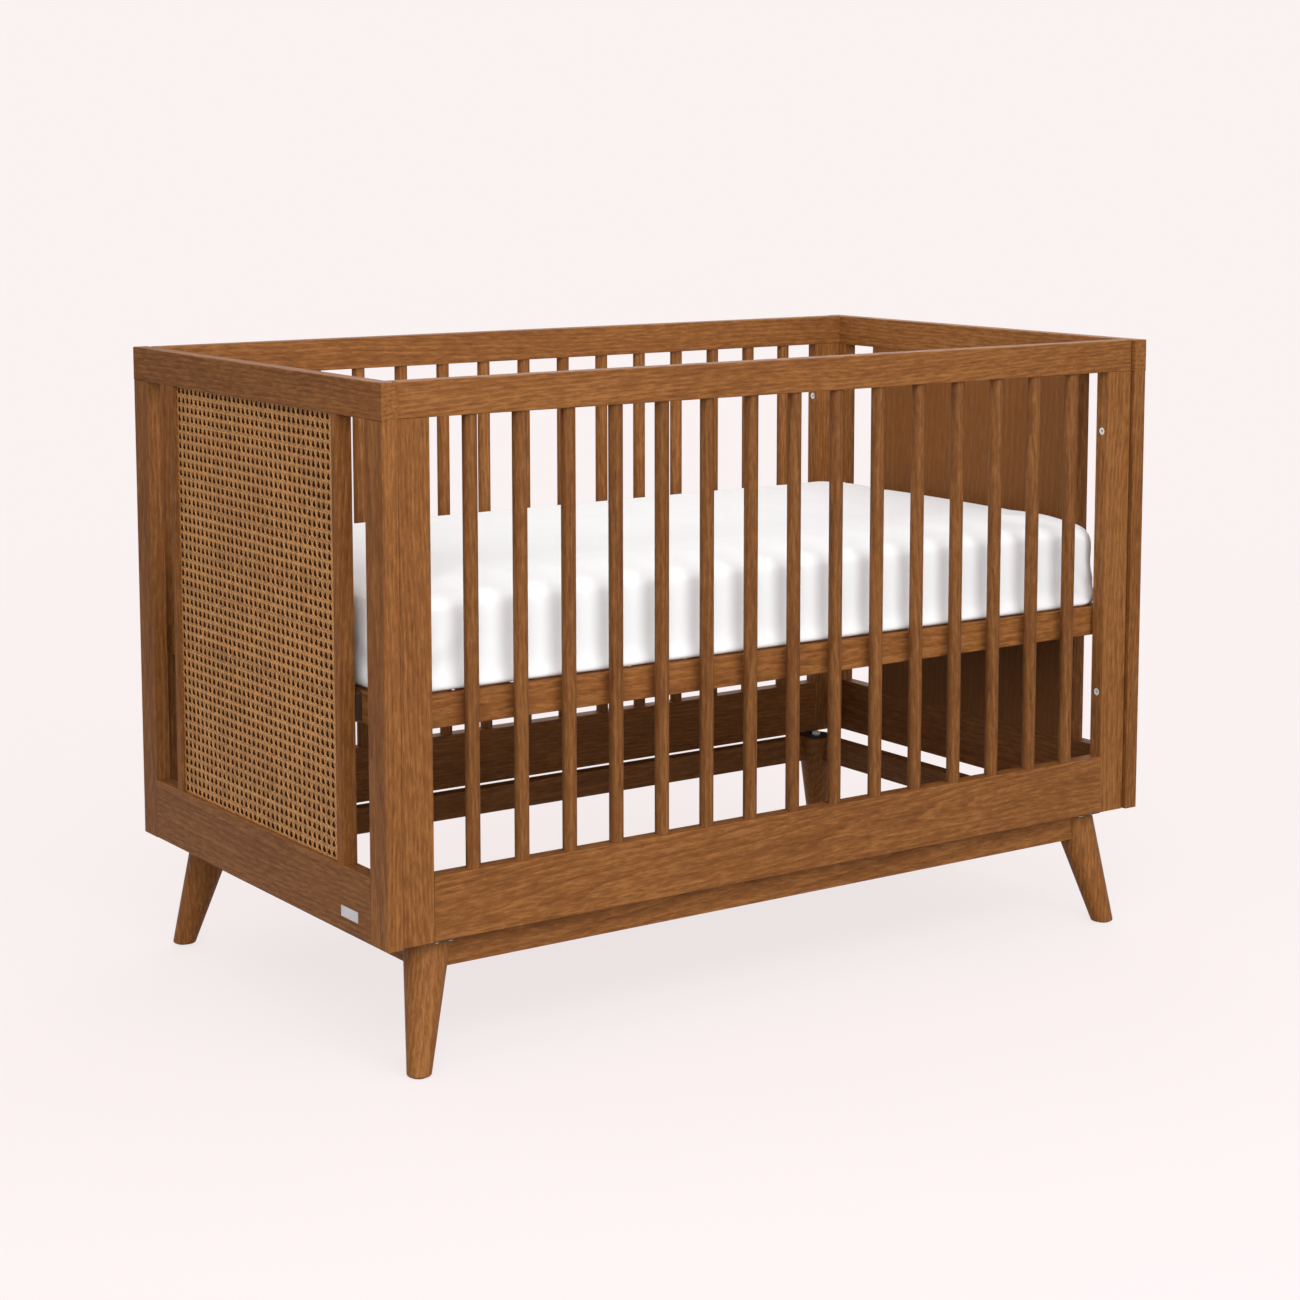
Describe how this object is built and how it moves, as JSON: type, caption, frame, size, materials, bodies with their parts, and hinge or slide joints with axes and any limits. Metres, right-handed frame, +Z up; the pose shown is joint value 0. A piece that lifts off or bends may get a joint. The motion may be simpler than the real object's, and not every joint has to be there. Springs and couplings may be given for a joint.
{
  "type": "baby crib",
  "caption": "Wooden baby crib with slatted round-spindle sides, woven cane end panels, splayed tapered legs, a height-adjustable slatted support and a fitted mattress.",
  "frame": {"origin": "on the floor under the middle of the crib", "axes": "+X along the crib's length towards the right end, +Y from the front side to the back side, +Z up"},
  "size_m": [1.3785, 0.776, 0.942],
  "materials": {
    "stained_oak": "satin",
    "oak_veneer": "satin",
    "woven_cane": "satin",
    "slat_wood": "satin",
    "dowel_beech": "satin",
    "brushed_plate": "satin",
    "bolt_steel": "satin",
    "insert_brass": "satin",
    "black_steel": "satin",
    "glide_plastic": "matte",
    "pad_plastic": "matte",
    "fitted_sheet": "matte"
  },
  "bodies": {
    "frame": {"back_bottom_rail": "stained_oak", "back_left_leg": "stained_oak", "back_left_post": "stained_oak", "back_right_leg": "stained_oak", "back_right_post": "stained_oak", "back_spindles": "stained_oak", "back_top_rail": "stained_oak", "base_back_apron": "stained_oak", "base_dowels": "dowel_beech", "base_front_apron": "stained_oak", "base_left_cross_rail": "stained_oak", "base_right_cross_rail": "stained_oak", "end_panel_dowels": "dowel_beech", "foot_glides": "glide_plastic", "front_bottom_rail": "stained_oak", "front_left_leg": "stained_oak", "front_left_post": "stained_oak", "front_right_leg": "stained_oak", "front_right_post": "stained_oak", "front_spindles": "stained_oak", "front_top_rail": "stained_oak", "height_inserts": "insert_brass", "left_end_back_post": "stained_oak", "left_end_back_stile": "stained_oak", "left_end_board": "oak_veneer", "left_end_bottom_rail": "stained_oak", "left_end_cane_sheet": "woven_cane", "left_end_front_post": "stained_oak", "left_end_front_stile": "stained_oak", "left_end_top_rail": "stained_oak", "leg_bolts": "bolt_steel", "leg_plate_screws": "bolt_steel", "leg_plates": "black_steel", "name_plate": "brushed_plate", "right_end_back_post": "stained_oak", "right_end_back_stile": "stained_oak", "right_end_board": "oak_veneer", "right_end_bottom_rail": "stained_oak", "right_end_cane_sheet": "woven_cane", "right_end_front_post": "stained_oak", "right_end_front_stile": "stained_oak", "right_end_top_rail": "stained_oak", "side_panel_bolts": "bolt_steel", "side_panel_dowels": "dowel_beech", "side_panel_inserts": "insert_brass"},
    "mattress_support": {"support_back_ledger": "slat_wood", "support_back_rail": "stained_oak", "support_bolts": "bolt_steel", "support_centre_rail": "slat_wood", "support_front_ledger": "slat_wood", "support_front_rail": "stained_oak", "support_left_rail": "stained_oak", "support_pads": "pad_plastic", "support_right_rail": "stained_oak", "support_slats": "slat_wood"},
    "mattress": {"mattress": "fitted_sheet"}
  },
  "joints": [
    {"name": "support_height", "type": "slide", "parent": "frame", "child": "mattress_support", "axis": [0, 0, 1], "range_m": [-0.24, 0]},
    {"name": "mattress_lift", "type": "slide", "parent": "mattress_support", "child": "mattress", "axis": [0, 0, 1], "range_m": [0, 0.45]}
  ]
}
